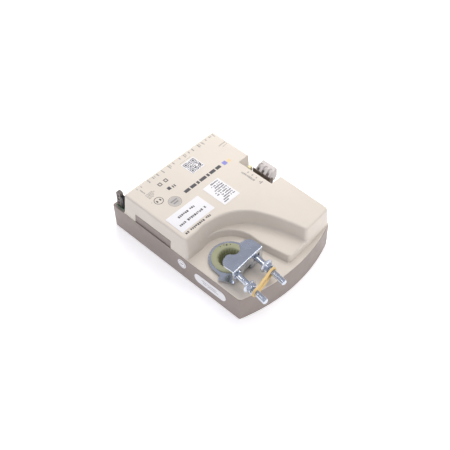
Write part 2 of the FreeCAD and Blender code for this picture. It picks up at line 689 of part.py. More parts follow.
# ---- output hub and clamp --------------------------------------------------
def make_hub():
    body = new_body("output_hub")
    sk = new_sketch(body, "hub_profile", 0.0, "XZ_Plane")
    bore, low = D["hub_bore"], D["hub_journal"]
    collar, stub, lip = D["hub_collar"], D["hub_stub"], D["hub_lip"]
    outline(sk, [(bore, 0.0), (low, 0.0), (low, 6.1), (12.2, 6.1), (12.2, 20.5), (collar, 22.4),
                 (collar, D["yoke_low"]), (stub, D["yoke_low"]), (stub, D["hub_top"] + 0.05),
                 (lip, D["hub_top"] + 0.05), (lip, D["hub_top"] + 0.6), (10.6, D["hub_top"] + 0.6),
                 (10.1, D["hub_top"]), (bore, D["hub_top"])])
    revolve(body, sk, "hub_turned")
    sk = new_sketch(body, "hub_bar_outline", D["yoke_low"] + D["yoke_plate"])
    outline(sk, [(11.0, -6.0), (17.0, -6.0), (17.0, 6.0), (11.0, 6.0)])
    pad(body, sk, 3.0, "hub_bar")
    place(body, 0.0, 0.0, 0.0, D["rest_yaw"])
    keep(body, "output_hub")


def leg_crossing(side, x):
    """Where a leg's centre line meets the plane at x of the yoke's own frame."""
    skew = math.radians(D["bolt_yaw"] - D["rest_yaw"])
    offset = side * D["leg_half"] + D["bolt_shift"]
    return x * math.tan(skew) + offset / math.cos(skew)


def make_yoke():
    low, top = D["yoke_low"], D["yoke_top"]
    sheet_t, front = D["yoke_plate"], D["yoke_front"]
    body = new_body("clamp_yoke")
    sk = new_sketch(body, "yoke_ring_outline", low, level_from="Dims.yoke_low")
    outline(sk, [(front, -17.4), (front, 17.4), (6.7, 22.3), (5.6, 18.6), (0.0, 17.4, 3.0, 17.9),
                 (0.0, -17.4, -17.4, 0.0), (5.6, -18.6, 3.0, -17.9), (6.7, -22.3)])
    pad(body, sk, "Dims.yoke_plate", "yoke_ring")
    sk = new_sketch(body, "yoke_wall_outline", front, "YZ_Plane")
    outline(sk, [(-17.2, low), (17.2, low), (17.2, top), (-17.2, top)])
    pad(body, sk, sheet_t, "yoke_wall", down=True)
    sk = new_sketch(body, "yoke_top_outline", top - sheet_t)
    outline(sk, [(front, -17.2), (front, 17.2), (10.5, 17.2), (3.9, 10.6, 5.7, 15.3),
                 (5.2, 5.4, 3.5, 7.8), (5.2, -5.4, 8.7, 0.0), (3.9, -10.6, 3.5, -7.8),
                 (10.5, -17.2, 5.7, -15.3)])
    pad(body, sk, sheet_t, "yoke_upper")
    sk = new_sketch(body, "leg_slots", front + 1.0, "YZ_Plane")
    for side in (-1, 1):
        middle = leg_crossing(side, front - sheet_t / 2.0)
        z0, z1 = D["leg_level"] - 2.9, D["leg_level"] + 2.9
        outline(sk, [(middle - 3.5, z0), (middle + 3.5, z0), (middle + 3.5, z1), (middle - 3.5, z1)])
        circle(sk, middle, 30.6, 1.0)
    outline(sk, [(-6.5, 20.0), (4.0, 20.0), (3.0, 33.0), (-5.5, 33.0)])
    pocket(body, sk, 3.5, "yoke_wall_openings")
    sk = new_sketch(body, "yoke_bore", low - 1.0)
    circle(sk, 0, 0, D["hub_stub"] + D["fit_gap"], "Dims.hub_stub + Dims.fit_gap")
    pocket(body, sk, 4.0, "yoke_bore_cut", up=True)
    doc.recompute()
    base = body.Tip
    fillet(body, base, 1.3,
           lambda e: (abs(e.BoundBox.ZMin - top) < 1e-4 and abs(e.BoundBox.ZMax - top) < 1e-4
                      and abs(e.BoundBox.XMin - front) < 1e-4 and abs(e.BoundBox.XMax - front) < 1e-4),
           "yoke_fold")
    place(body, 0.0, 0.0, 0.0, D["rest_yaw"])
    keep(body, "clamp_yoke")


def turned(x, y):
    """Point of the U-bolt's own frame in the housing's frame."""
    c, s = math.cos(math.radians(D["bolt_yaw"])), math.sin(math.radians(D["bolt_yaw"]))
    y += D["bolt_shift"]
    return c * x - s * y, s * x + c * y


def make_u_bolt():
    body = new_body("u_bolt")
    path = new_sketch(body, "bolt_path", D["leg_level"], level_from="Dims.leg_level")
    half, bend, end, right_end = D["leg_half"], D["bend_x"], D["leg_end"], D["right_leg_end"]
    path.addGeometry([Part.LineSegment(V(end, -half, 0), V(bend, -half, 0)),
                      Part.Arc(V(bend, -half, 0), V(bend - half, 0, 0), V(bend, half, 0)),
                      Part.LineSegment(V(bend, half, 0), V(right_end, half, 0))], False)
    rod = new_sketch(body, "rod_circle", end, "YZ_Plane")
    circle(rod, -half, D["leg_level"], D["leg_radius"], "Dims.leg_radius")
    pipe = body.newObject("PartDesign::AdditivePipe", "bent_rod")
    pipe.Profile = rod
    pipe.Spine = (path, ["Edge1", "Edge2", "Edge3"])
    fillet(body, pipe, 0.5,
           lambda e: e.BoundBox.XMin > right_end - 1e-4 and e.BoundBox.XLength < 1e-3, "rod_ends",
           "PartDesign::Chamfer")
    px, py = turned(0.0, 0.0)
    place(body, px, py, 0.0, D["bolt_yaw"])
    keep(body, "u_bolt")
    for name, side, x in (("flange_nut_left", -1, "nut_left_x"), ("flange_nut_right", 1, "nut_right_x")):
        make_nut(name, side, D[x])
    make_band()


def make_nut(name, side, x):
    """Flange nut whose flange faces the yoke wall; axis along the leg."""
    body = new_body(name)
    sk = new_sketch(body, name + "_flange", 0.0, "YZ_Plane")
    circle(sk, 0, 0, D["nut_flange"], "Dims.nut_flange")
    pad(body, sk, 1.2, name + "_flange_pad")
    sk = new_sketch(body, name + "_hex", 1.0, "YZ_Plane")
    reach = D["nut_across"] / 2.0 / math.cos(math.radians(30.0))
    corners = [(reach * math.cos(math.radians(60 * k)), reach * math.sin(math.radians(60 * k)))
               for k in range(6)]
    outline(sk, corners)
    pad(body, sk, "Dims.nut_tall - 1", name + "_hex_pad")
    sk = new_sketch(body, name + "_bore", -1.0, "YZ_Plane")
    circle(sk, 0, 0, D["leg_radius"] + D["fit_gap"], "Dims.leg_radius + Dims.fit_gap")
    pocket(body, sk, 10.0, name + "_bore_cut", up=True)
    px, py = turned(x, side * D["leg_half"])
    place(body, px, py, D["leg_level"], D["bolt_yaw"])
    keep(body, name)


def make_band():
    """Rubber band round both legs, pushed askew by the nuts."""
    body = new_body("retaining_band")
    half = D["leg_half"]
    x_left, x_right = 42.7, 35.7
    skew = math.degrees(math.atan2(x_left - x_right, 2 * half))
    reach = half / math.cos(math.radians(skew))
    for name, r in (("outer", 4.0), ("inner", 3.1)):
        sk = new_sketch(body, "band_" + name, -1.1, "YZ_Plane")
        stadium(sk, -reach, reach, 0.0, r)
        if name == "outer":
            pad(body, sk, 2.2, "band_block")
        else:
            pocket(body, sk, 4.0, "band_hollow", up=True)
    px, py = turned((x_left + x_right) / 2.0, 0.0)
    place(body, px, py, D["leg_level"], D["bolt_yaw"] + skew)
    keep(body, "retaining_band")


# ---- board, headers, plugs -------------------------------------------------
def make_board():
    body = new_body("main_circuit_board")
    sk = new_sketch(body, "board_outline", D["board_level"], level_from="Dims.board_level")
    outline(sk, [(-111.8, -21.3), (-52.0, -21.3), (-52.0, 70.6), (-15.0, 70.6), (-15.0, 81.3),
                 (-111.8, 81.3)])
    for x, y in COVER_SCREWS[:2]:
        circle(sk, x, y, 4.1)
    for x, y in BOARD_POSTS:
        circle(sk, x, y, 1.5)
    pad(body, sk, "Dims.board_thick", "board")
    keep(body, "main_circuit_board")
    top = D["board_level"] + D["board_thick"]
    screws = []
    for i, (x, y) in enumerate(BOARD_POSTS):
        shank = cylinder("board_screw_shank_%d" % i, x, y, 14.5, top, 1.25)
        head = cylinder("board_screw_head_%d" % i, x, y, top, top + 1.6, 2.4)
        screws.append(fuse("board_screw_%d" % i, [shank, head]))
    keep(group("board_screws", screws), "board_screws")
    chips = [box("chip_cpu", -82.0, 16.0, top, -68.0, 30.0, top + 1.6),
             box("chip_net", -70.0, 44.0, top, -62.0, 50.0, top + 1.8),
             box("chip_drive", -66.0, 4.0, top, -56.0, 12.0, top + 1.8)]
    keep(group("board_chips", chips), "board_chips")
    caps = [cylinder("cap_%d" % i, x, y, top, top + tall, r)
            for i, (x, y, r, tall) in enumerate([(-84.0, 58.0, 5.0, 16.0), (-72.0, 62.0, 4.0, 12.0),
                                                 (-84.0, 44.0, 4.0, 12.0)])]
    keep(group("board_capacitors", caps), "board_capacitors")
    relays = [box("triac_%d" % i, -92.0, y, top, -82.0, y + 4.6, top + 14.0)
              for i, y in enumerate([-8.0, 0.0, 8.0])]
    keep(group("board_triacs", relays), "board_triacs")
    foot = box("light_pipe_foot", -49.6, 72.0, top, -44.8, 76.4, top + 4.0)
    stem = box("light_pipe_stem", -48.4, 72.4, top + 4.0, -45.4, 75.4, 45.0)
    keep(fuse("status_light_pipe", [foot, stem]), "status_light_pipe")


def header_shape(tag, poles, base_tall, plug_height):
    """Pin header for a plug; local: +Y along the row, -X away from the cover, foot at z 0."""
    length = poles * D["pole_pitch"]
    foot = box(tag + "_foot", -5.2, 0.0, 0.0, 5.0, length, base_tall)
    back = box(tag + "_back", 4.1, 0.0, base_tall, 5.0, length, base_tall + plug_height * 0.65)
    body = fuse(tag + "_shape", [foot, back])
    pins = []
    for k in range(poles):
        y = (k + 0.5) * D["pole_pitch"]
        pins.append(box("%s_pin_%d" % (tag, k), -0.5, y - 0.5, base_tall, 0.5, y + 0.5,
                        base_tall + pin_room(plug_height)))
    return body, group(tag + "_pins", pins)


def plug_shape(tag, poles, tall):
    """Screw plug: local as the header, underside at z 0, wire and screw openings on top."""
    length = poles * D["pole_pitch"] - 0.2
    body = new_body(tag)
    sk = new_sketch(body, tag + "_outline", 0.0, "XZ_Plane")
    over = tall * 0.5 - 4.0 if tall > 10.0 else -0.4
    outline(sk, [(-4.9, 1.8), (-4.9, 0.0), (3.9, 0.0), (3.9, tall - 1.0), (3.4, tall),
                 (-4.0 - over, tall), (-4.8 - over, tall - 1.2), (-4.8 - over, 4.2)])
    pad(body, sk, length, tag + "_block", down=True)
    sk = new_sketch(body, tag + "_wire_holes", tall)
    for k in range(poles):
        y = (k + 0.5) * D["pole_pitch"] - 0.1
        outline(sk, [(0.6, y - 1.25), (3.0, y - 1.25), (3.0, y + 1.25), (0.6, y + 1.25)])
    pocket(body, sk, tall * 0.5, tag + "_wire_pockets")
    sk = new_sketch(body, tag + "_screw_wells", tall)
    for k in range(poles):
        y = (k + 0.5) * D["pole_pitch"] - 0.1
        circle(sk, -2.3, y, 1.9)
    pocket(body, sk, tall * 0.4, tag + "_screw_pockets")
    sk = new_sketch(body, tag + "_pin_holes", 0.0)
    for k in range(poles):
        y = (k + 0.5) * D["pole_pitch"]
        outline(sk, [(-0.8, y - 0.8), (0.8, y - 0.8), (0.8, y + 0.8), (-0.8, y + 0.8)])
    pocket(body, sk, pin_room(tall) + 0.3, tag + "_pin_pockets", up=True)
    doc.recompute()
    return body


def pin_room(tall):
    return tall * 0.5


def plug_screws(tag, poles, tall):
    screws = []
    seat = tall * 0.6
    for k in range(poles):
        y = (k + 0.5) * D["pole_pitch"] - 0.1
        head = cylinder("%s_head_%d" % (tag, k), -2.3, y, seat, seat + 1.8, 1.7)
        slot = box("%s_slot_%d" % (tag, k), -4.3, y - 0.25, seat + 1.1, -0.3, y + 0.25, seat + 2.5)
        screws.append(cut("%s_screw_%d" % (tag, k), head, slot))
    return group(tag, screws)


def make_terminals():
    top = D["board_level"] + D["board_thick"]
    heads, pins = [], []
    for i, y in enumerate(HEADER_STARTS):
        body, pin = header_shape("row_header_%d" % (i + 1), ROW_POLES, ROW_HEADER_TALL,
                                 D["row_plug_tall"])
        place(body, ROW_X, y, top)
        place(pin, ROW_X, y, top)
        heads.append(body)
        pins.append(pin)
    keep(group("terminal_headers", heads), "terminal_headers")
    keep(group("terminal_pins", pins), "terminal_pins")
    for i, y in enumerate(HEADER_STARTS):
        letter = "abc"[i]
        plug = plug_shape("terminal_plug_" + letter, ROW_POLES, D["row_plug_tall"])
        place(plug, ROW_X, y + 0.1, top + ROW_HEADER_TALL + 0.2)
        keep(plug, "terminal_plug_" + letter)
        screws = plug_screws("terminal_screws_" + letter, ROW_POLES, D["row_plug_tall"])
        place(screws, ROW_X, y + 0.1, top + ROW_HEADER_TALL + 0.2)
        keep(screws, "terminal_screws_" + letter)
    make_network_terminals(top)
    shell = box("service_shell_block", -106.4, -20.6, top, -103.6, -17.2, top + 17.5)
    keep(shell, "service_shell")
    face = new_body("service_socket")
    sk = new_sketch(face, "socket_outline", 20.6, "XZ_Plane")
    outline(sk, [(-111.6, top), (-106.5, top), (-106.5, top + 20.6), (-107.6, top + 21.2),
                 (-110.4, top + 21.2), (-111.6, top + 20.0)])
    pad(face, sk, 3.4, "socket_block", down=True)
    sk = new_sketch(face, "socket_holes", 20.6, "XZ_Plane")
    for z in (5.0, 9.0, 13.0, 17.0):
        circle(sk, -109.1, top + z, 1.1)
    pocket(face, sk, 2.2, "socket_hole_cut")
    keep(face, "service_socket")


def make_network_terminals(top):
    """Three-pole header in the notch and its plug, which reaches out over the tray wall."""
    base = top + NETWORK_HEADER_TALL
    pitch = D["pole_pitch"]
    foot = box("net_header_foot", -44.6, 71.4, top, -25.2, 81.2, base)
    wall = box("net_header_wall", -44.6, 75.0, base, -25.2, 75.7, base + 11.2)
    cheek = box("net_header_cheek", -26.4, 75.7, base, -25.2, 79.0, base + 9.0)
    keep(fuse("network_header", [foot, wall, cheek]), "network_header")
    centres = [NETWORK_X + (k + 0.5) * pitch for k in range(NETWORK_POLES)]
    pins = []
    for k, x in enumerate(centres):
        pins.append(box("net_pin_%d" % k, x - 0.5, NETWORK_Y - 0.5, base, x + 0.5, NETWORK_Y + 0.5,
                        base + 6.0))
    keep(group("network_pins", pins), "network_pins")
    low = base + 0.2
    tall = D["plug_tall"]
    body = new_body("network_plug")
    sk = new_sketch(body, "plug_section", NETWORK_X + 0.1, "YZ_Plane")
    near = NETWORK_Y - 3.85
    far = NETWORK_Y + 8.0
    outline(sk, [(near, low), (NETWORK_Y + 1.3, low), (NETWORK_Y + 1.3, low + 3.4), (far, low + 6.2),
                 (far, low + tall - 0.9), (far - 0.7, low + tall), (near + 0.6, low + tall),
                 (near, low + tall - 0.8)])
    pad(body, sk, NETWORK_POLES * pitch - 0.2, "plug_block")
    sk = new_sketch(body, "wire_holes", low + tall)
    for x in centres:
        outline(sk, [(x - 1.2, NETWORK_Y - 2.9), (x + 1.2, NETWORK_Y - 2.9), (x + 1.2, NETWORK_Y - 0.7),
                     (x - 1.2, NETWORK_Y - 0.7)])
    pocket(body, sk, 5.8, "wire_pockets")
    sk = new_sketch(body, "screw_wells", low + tall)
    for x in centres:
        outline(sk, [(x - 1.75, far + 2.0), (x - 1.75, NETWORK_Y + 2.6),
                     (x + 1.75, NETWORK_Y + 2.6, x, NETWORK_Y + 0.85), (x + 1.75, far + 2.0)])
    pocket(body, sk, 4.0, "screw_pockets")
    sk = new_sketch(body, "pin_holes", low)
    for x in centres:
        outline(sk, [(x - 0.8, NETWORK_Y - 0.65), (x + 0.8, NETWORK_Y - 0.65), (x + 0.8, NETWORK_Y + 0.65),
                     (x - 0.8, NETWORK_Y + 0.65)])
    pocket(body, sk, 6.1, "pin_pockets", up=True)
    doc.recompute()
    keep(body, "network_plug")
    screws = []
    seat = low + tall - 4.0
    for k, x in enumerate(centres):
        head = cylinder("net_screw_head_%d" % k, x, NETWORK_Y + 4.2, seat, seat + 1.7, 1.6)
        slot = box("net_screw_slot_%d" % k, x - 2.0, NETWORK_Y + 3.95, seat + 1.0, x + 2.0,
                   NETWORK_Y + 4.45, seat + 2.5)
        screws.append(cut("net_screw_%d" % k, head, slot))
    keep(group("network_screws", screws), "network_screws")


# ---- fasteners and labels --------------------------------------------------
def make_cover_screws():
    screws = []
    for i, (x, y) in enumerate(COVER_SCREWS):
        head = cylinder("cover_screw_head_%d" % i, x, y, 0.4, 2.6, 2.9)
        shank = cylinder("cover_screw_shank_%d" % i, x, y, 2.6, 23.5, 1.5)
        screws.append(fuse("cover_screw_%d" % i, [head, shank]))
    keep(group("cover_screws", screws), "cover_screws")


def make_labels():
    top = D["tray_height"] + D["cover_height"]
    for name, x, y, wide, deep in (("port_cover_label", -54.6, -17.5, 19.7, 36.5),
                                   ("spec_label", -56.6, 26.8, 25.6, 18.0),
                                   ("code_label", -89.5, 34.0, 14.4, 14.4)):
        b = box(name, x, y, top, x + wide, y + deep, top + D["sticker"])
        b.setExpression("Height", "Dims.sticker")
        keep(b, name)
    disc_label = doc.addObject("Part::Cylinder", "round_sticker")
    disc_label.Radius = 4.6
    disc_label.Height = D["sticker"]
    disc_label.Placement = FreeCAD.Placement(V(-31.1, D["tray_y0"], 16.4),
                                             FreeCAD.Rotation(V(1, 0, 0), 90.0))
    keep(disc_label, "round_sticker")
    body = new_body("oblong_sticker")
    sk = new_sketch(body, "oblong_outline", -D["tray_y0"], "XZ_Plane")
    stadium(sk, -11.8, 12.8, 13.4, 5.0)
    pad(body, sk, "Dims.sticker", "oblong_film")
    keep(body, "oblong_sticker")


make_tray()
make_cover()
make_hub()
make_yoke()
make_u_bolt()
make_gear_train()
make_motor()
make_board()
make_terminals()
make_cover_screws()
make_labels()
doc.recompute()

problems = []
for obj in doc.Objects:
    if "Invalid" in obj.State or "Error" in obj.State:
        problems.append("%s %s" % (obj.Name, obj.State))
for name, obj in exported:
    shape = obj.Shape
    if shape.isNull() or not shape.isValid() or not shape.Solids:
        problems.append("%s shape" % name)
        continue
    shape.exportStep("parts/%s.step" % name)
    bb = shape.BoundBox
    print("%-20s solids %2d vol %9.1f  x %.1f %.1f  y %.1f %.1f  z %.1f %.1f" % (
        name, len(shape.Solids), shape.Volume, bb.XMin, bb.XMax, bb.YMin, bb.YMax, bb.ZMin, bb.ZMax))
print("PROBLEMS", problems)
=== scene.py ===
import json
import math
import random
import bmesh
import bpy
from mathutils import Matrix, Vector


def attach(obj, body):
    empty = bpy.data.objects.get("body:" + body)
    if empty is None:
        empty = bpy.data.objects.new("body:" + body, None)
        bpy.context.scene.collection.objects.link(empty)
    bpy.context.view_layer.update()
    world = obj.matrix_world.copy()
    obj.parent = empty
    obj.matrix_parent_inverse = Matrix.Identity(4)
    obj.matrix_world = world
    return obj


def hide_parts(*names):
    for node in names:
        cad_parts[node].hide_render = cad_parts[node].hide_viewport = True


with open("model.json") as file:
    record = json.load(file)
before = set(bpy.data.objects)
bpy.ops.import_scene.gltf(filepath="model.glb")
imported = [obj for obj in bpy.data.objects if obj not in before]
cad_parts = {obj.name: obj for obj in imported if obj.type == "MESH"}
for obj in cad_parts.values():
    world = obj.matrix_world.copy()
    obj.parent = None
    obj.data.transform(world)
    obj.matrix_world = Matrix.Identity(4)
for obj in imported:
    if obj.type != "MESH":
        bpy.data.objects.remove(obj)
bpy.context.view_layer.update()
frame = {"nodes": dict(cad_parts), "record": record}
NODES = frame["nodes"]
MM = 0.001

# sizes and places below are millimetres in the row frame, unless a name says otherwise
YAW = math.radians(2.7)             # how far the hub and yoke stand turned at rest
BOLT_YAW = math.radians(-7.5)       # how far the U-bolt stands turned at rest
BOLT_SHIFT = 1.77                   # U-bolt centre line from the hub axis
LEG_HALF = 11.3                     # U-bolt centre line to the middle of a leg
BOLT_LEVEL = 35.5                   # height of the legs
NUT_LEFT_FACE = 35.0                # where each nut's flange stands along its leg
NUT_RIGHT_FACE = 28.0
SEED = 41                           # the print's strokes and cells


# ---------------------------------------------------------------- materials
def new_tree(name):
    mat = bpy.data.materials.new(name)
    mat.use_nodes = True
    tree = mat.node_tree
    shader = tree.nodes["Principled BSDF"]
    return mat, tree, shader


def coords(tree, scale):
    """The object's own coordinates, stretched by scale."""
    place = tree.nodes.new("ShaderNodeTexCoord")
    mapping = tree.nodes.new("ShaderNodeMapping")
    mapping.inputs["Scale"].default_value = scale
    tree.links.new(place.outputs["Object"], mapping.inputs["Vector"])
    return mapping.outputs["Vector"]


def noise(tree, vector, scale, detail=3.0, rough=0.55):
    node = tree.nodes.new("ShaderNodeTexNoise")
    node.inputs["Scale"].default_value = scale
    node.inputs["Detail"].default_value = detail
    node.inputs["Roughness"].default_value = rough
    tree.links.new(vector, node.inputs["Vector"])
    return node.outputs["Fac"]


def spread(tree, value, low, high, start=0.3, end=0.7):
    """Value from start to end, mapped to low to high."""
    node = tree.nodes.new("ShaderNodeMapRange")
    node.inputs["From Min"].default_value = start
    node.inputs["From Max"].default_value = end
    node.inputs["To Min"].default_value = low
    node.inputs["To Max"].default_value = high
    tree.links.new(value, node.inputs["Value"])
    return node.outputs["Result"]


def blend_colour(tree, fac, a, b):
    """Mix of a and b, each of them a colour or a socket."""
    node = tree.nodes.new("ShaderNodeMix")
    node.data_type = "RGBA"
    if isinstance(fac, float):
        node.inputs["Factor"].default_value = fac
    else:
        tree.links.new(fac, node.inputs["Factor"])
    for socket, value in (("A", a), ("B", b)):
        target = [s for s in node.inputs if s.name == socket and s.type == "RGBA"][0]
        if isinstance(value, (tuple, list)):
            target.default_value = (*value[:3], 1.0)
        else:
            tree.links.new(value, target)
    return [s for s in node.outputs if s.type == "RGBA"][0]


def bump(tree, height, shader, strength, distance):
    node = tree.nodes.new("ShaderNodeBump")
    node.inputs["Strength"].default_value = strength
    node.inputs["Distance"].default_value = distance
    tree.links.new(height, node.inputs["Height"])
    tree.links.new(node.outputs["Normal"], shader.inputs["Normal"])


def shade(colour, factor):
    return tuple(min(1.0, c * factor) for c in colour)


def plastic(name, colour, rough=0.5, grain=1500.0, depth=0.00003, strength=0.35, patch=0.06,
            sheen_like=0.45, dust=0.04):
    """Moulded plastic: spark-eroded grain, faint patches, dusty roughness changes."""
    mat, tree, shader = new_tree(name)
    vec = coords(tree, (1.0, 1.0, 1.0))
    broad = noise(tree, vec, 22.0, 4.0)
    fine = noise(tree, vec, grain, 2.0, 0.6)
    mid = noise(tree, vec, 160.0, 3.0)
    tone = blend_colour(tree, spread(tree, broad, 0.0, 1.0), shade(colour, 1.0 - patch),
                        shade(colour, 1.0 + patch * 0.6))
    tone = blend_colour(tree, spread(tree, mid, 0.0, dust, 0.45, 0.75), tone, shade(colour, 0.72))
    tree.links.new(tone, shader.inputs["Base Color"])
    tree.links.new(spread(tree, mid, rough - 0.06, rough + 0.07), shader.inputs["Roughness"])
    shader.inputs["Specular IOR Level"].default_value = sheen_like
    bump(tree, fine, shader, strength, depth)
    return mat


def metal(name, colour, rough=0.3, stretch=(1.0, 1.0, 1.0), scale=900.0, patch=0.08, tint=None,
          strength=0.12):
    """Plated or machined metal: fine directional lines, cloudy plating, small smudges."""
    mat, tree, shader = new_tree(name)
    lines = noise(tree, coords(tree, stretch), scale, 3.0, 0.6)
    vec = coords(tree, (1.0, 1.0, 1.0))
    cloud = noise(tree, vec, 110.0, 5.0, 0.6)
    tone = blend_colour(tree, spread(tree, cloud, 0.0, 1.0), shade(colour, 1.0 - patch),
                        tint or shade(colour, 1.0 + patch))
    tree.links.new(tone, shader.inputs["Base Color"])
    shader.inputs["Metallic"].default_value = 1.0
    tree.links.new(spread(tree, cloud, rough - 0.08, rough + 0.1), shader.inputs["Roughness"])
    bump(tree, lines, shader, strength, 0.00004)
    return mat


def board_material():
    """Green solder mask with paler lines where the tracks lie."""
    mat, tree, shader = new_tree("solder_mask")
    vec = coords(tree, (1.0, 1.0, 1.0))
    brick = tree.nodes.new("ShaderNodeTexBrick")
    brick.inputs["Scale"].default_value = 260.0
    brick.inputs["Mortar Size"].default_value = 0.035
    brick.inputs["Color1"].default_value = (0.035, 0.30, 0.17, 1.0)
    brick.inputs["Color2"].default_value = (0.05, 0.34, 0.20, 1.0)
    brick.inputs["Mortar"].default_value = (0.12, 0.52, 0.34, 1.0)
    tree.links.new(vec, brick.inputs["Vector"])
    patchy = noise(tree, vec, 260.0, 2.0)
    tone = blend_colour(tree, spread(tree, patchy, 0.0, 0.5), brick.outputs["Color"], (0.10, 0.45, 0.30))
    tree.links.new(tone, shader.inputs["Base Color"])
    tree.links.new(spread(tree, patchy, 0.25, 0.4), shader.inputs["Roughness"])
    bump(tree, brick.outputs["Fac"], shader, 0.2, 0.00005)
    return mat


def paper(name, colour, rough=0.55):
    """Label film with faint fibres."""
    mat, tree, shader = new_tree(name)
    vec = coords(tree, (1.0, 1.0, 1.0))
    fibres = noise(tree, coords(tree, (1.0, 3.0, 1.0)), 900.0, 4.0, 0.7)
    broad = noise(tree, vec, 60.0, 3.0)
    tone = blend_colour(tree, spread(tree, broad, 0.0, 1.0), shade(colour, 0.965), colour)
    tree.links.new(tone, shader.inputs["Base Color"])
    tree.links.new(spread(tree, fibres, rough - 0.08, rough + 0.08), shader.inputs["Roughness"])
    bump(tree, fibres, shader, 0.12, 0.00002)
    return mat


def rubber(name, colour):
    """Matt rubber that lets a little light in."""
    mat, tree, shader = new_tree(name)
    vec = coords(tree, (1.0, 1.0, 1.0))
    fine = noise(tree, vec, 1200.0, 3.0, 0.7)
    broad = noise(tree, vec, 190.0, 3.0)
    tone = blend_colour(tree, spread(tree, broad, 0.0, 1.0), shade(colour, 0.86), shade(colour, 1.08))
    tree.links.new(tone, shader.inputs["Base Color"])
    tree.links.new(spread(tree, broad, 0.42, 0.6), shader.inputs["Roughness"])
    shader.inputs["Subsurface Weight"].default_value = 0.12
    shader.inputs["Subsurface Radius"].default_value = (0.004, 0.0025, 0.001)
    bump(tree, fine, shader, 0.3, 0.00005)
    return mat


MAT = {
    "base_plastic": plastic("tray_grey_brown", (0.30, 0.25, 0.22), 0.48, 1300.0, 0.00004, 0.45, 0.07),
    "cover_plastic": plastic("cover_cream", (0.72, 0.655, 0.57), 0.42, 1900.0, 0.00002, 0.22, 0.03,
                             dust=0.02),
    "screw_steel": metal("screw_zinc", (0.52, 0.53, 0.56), 0.35),
    "zinc_steel": metal("bright_zinc", (0.60, 0.64, 0.71), 0.24, (1.0, 6.0, 1.0), 500.0, 0.05,
                        (0.68, 0.72, 0.79), 0.05),
    "hub_metal": plastic("hub_olive", (0.40, 0.41, 0.25), 0.42, 900.0, 0.00004, 0.4, 0.12, 0.6),
    "gear_plastic": plastic("acetal", (0.78, 0.77, 0.70), 0.38),
    "gear_steel": metal("sintered_steel", (0.42, 0.41, 0.40), 0.45, (1.0, 1.0, 1.0), 1400.0),
    "brass": metal("brass", (0.75, 0.55, 0.24), 0.3),
    "motor_can": metal("drawn_can", (0.58, 0.58, 0.60), 0.3, (1.0, 1.0, 8.0), 500.0),
    "magnet": metal("ferrite", (0.16, 0.16, 0.17), 0.5),
    "board_green": board_material(),
    "chip_black": plastic("epoxy_black", (0.035, 0.035, 0.038), 0.5, 1800.0),
    "capacitor": plastic("cap_sleeve", (0.10, 0.11, 0.16), 0.3, 700.0),
    "header_black": plastic("header_black", (0.02, 0.02, 0.021), 0.35, 1500.0),
    "plug_grey": plastic("plug_grey", (0.62, 0.58, 0.55), 0.45, 1500.0),
    "header_taupe": plastic("header_taupe", (0.15, 0.118, 0.1), 0.45, 1500.0),
    "socket_taupe": plastic("socket_taupe", (0.17, 0.145, 0.13), 0.5, 1500.0),
    "pin_tin": metal("tinned", (0.72, 0.71, 0.67), 0.3),
    "rubber_band": rubber("tan_rubber", (0.80, 0.57, 0.24)),
    "label_paper": paper("label_film", (0.86, 0.85, 0.86)),
    "light_pipe": plastic("light_pipe", (0.80, 0.74, 0.46), 0.2, 400.0),
    "ink": plastic("printed_ink", (0.10, 0.095, 0.10), 0.55, 2500.0),
    "ink_grey": plastic("printed_grey", (0.30, 0.285, 0.28), 0.55, 2500.0),
    "ink_pale": plastic("printed_pale", (0.52, 0.49, 0.46), 0.55, 2500.0),
    "ink_violet": plastic("printed_violet", (0.27, 0.27, 0.62), 0.5, 2500.0),
    "ink_amber": plastic("printed_amber", (0.86, 0.64, 0.34), 0.5, 2500.0),
}
# nodes that look unlike the rest of their slot
OWN_LOOK = {"service_socket": "socket_taupe", "network_header": "header_taupe"}
for row in frame["record"]["subparts"]:
    obj = NODES[row["node"]]
    look = MAT[OWN_LOOK.get(row["node"], row["material_slot"])]
    mats = obj.data.materials
    for i in range(max(1, len(mats))):
        if len(mats):
            mats[i] = look
        else:
            mats.append(look)


def soften(node, width=0.35, segments=2, angle=35.0):
    """Rounded edges on a CAD node, by a modifier."""
    mod = NODES[node].modifiers.new("edge_round", "BEVEL")
    mod.width = width * MM
    mod.segments = segments
    mod.limit_method = "ANGLE"
    mod.angle_limit = math.radians(angle)
    mod.harden_normals = True


# ---------------------------------------------------------------- mesh helpers
def mesh_object(name, verts, faces, mat, body, smooth=True, sharp=35.0):
    """A mesh from millimetres, riding on a body of the frame."""
    mesh = bpy.data.meshes.new(name)
    mesh.from_pydata([tuple(c * MM for c in v) for v in verts], [], faces)
    mesh.validate()
    bm = bmesh.new()
    bm.from_mesh(mesh)
    bmesh.ops.recalc_face_normals(bm, faces=bm.faces)
    bm.to_mesh(mesh)
    bm.free()
    mesh.materials.append(MAT[mat])
    obj = bpy.data.objects.new(name, mesh)
    bpy.context.scene.collection.objects.link(obj)
    if smooth:
        mesh.shade_smooth()
        mesh.set_sharp_from_angle(angle=math.radians(sharp))
    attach(obj, body)
    return obj


def clamp_point(x, y, z):
    """Clamp-local millimetres to the row frame."""
    return (x * math.cos(YAW) - y * math.sin(YAW), x * math.sin(YAW) + y * math.cos(YAW), z)


def bolt_point(x, y, z):
    """U-bolt millimetres to the row frame."""
    y += BOLT_SHIFT
    c, s = math.cos(BOLT_YAW), math.sin(BOLT_YAW)
    return (x * c - y * s, x * s + y * c, z)


def circle_angles(count):
    """Angles of count points spread evenly round a circle."""
    return [2 * math.pi * k / count for k in range(count)]


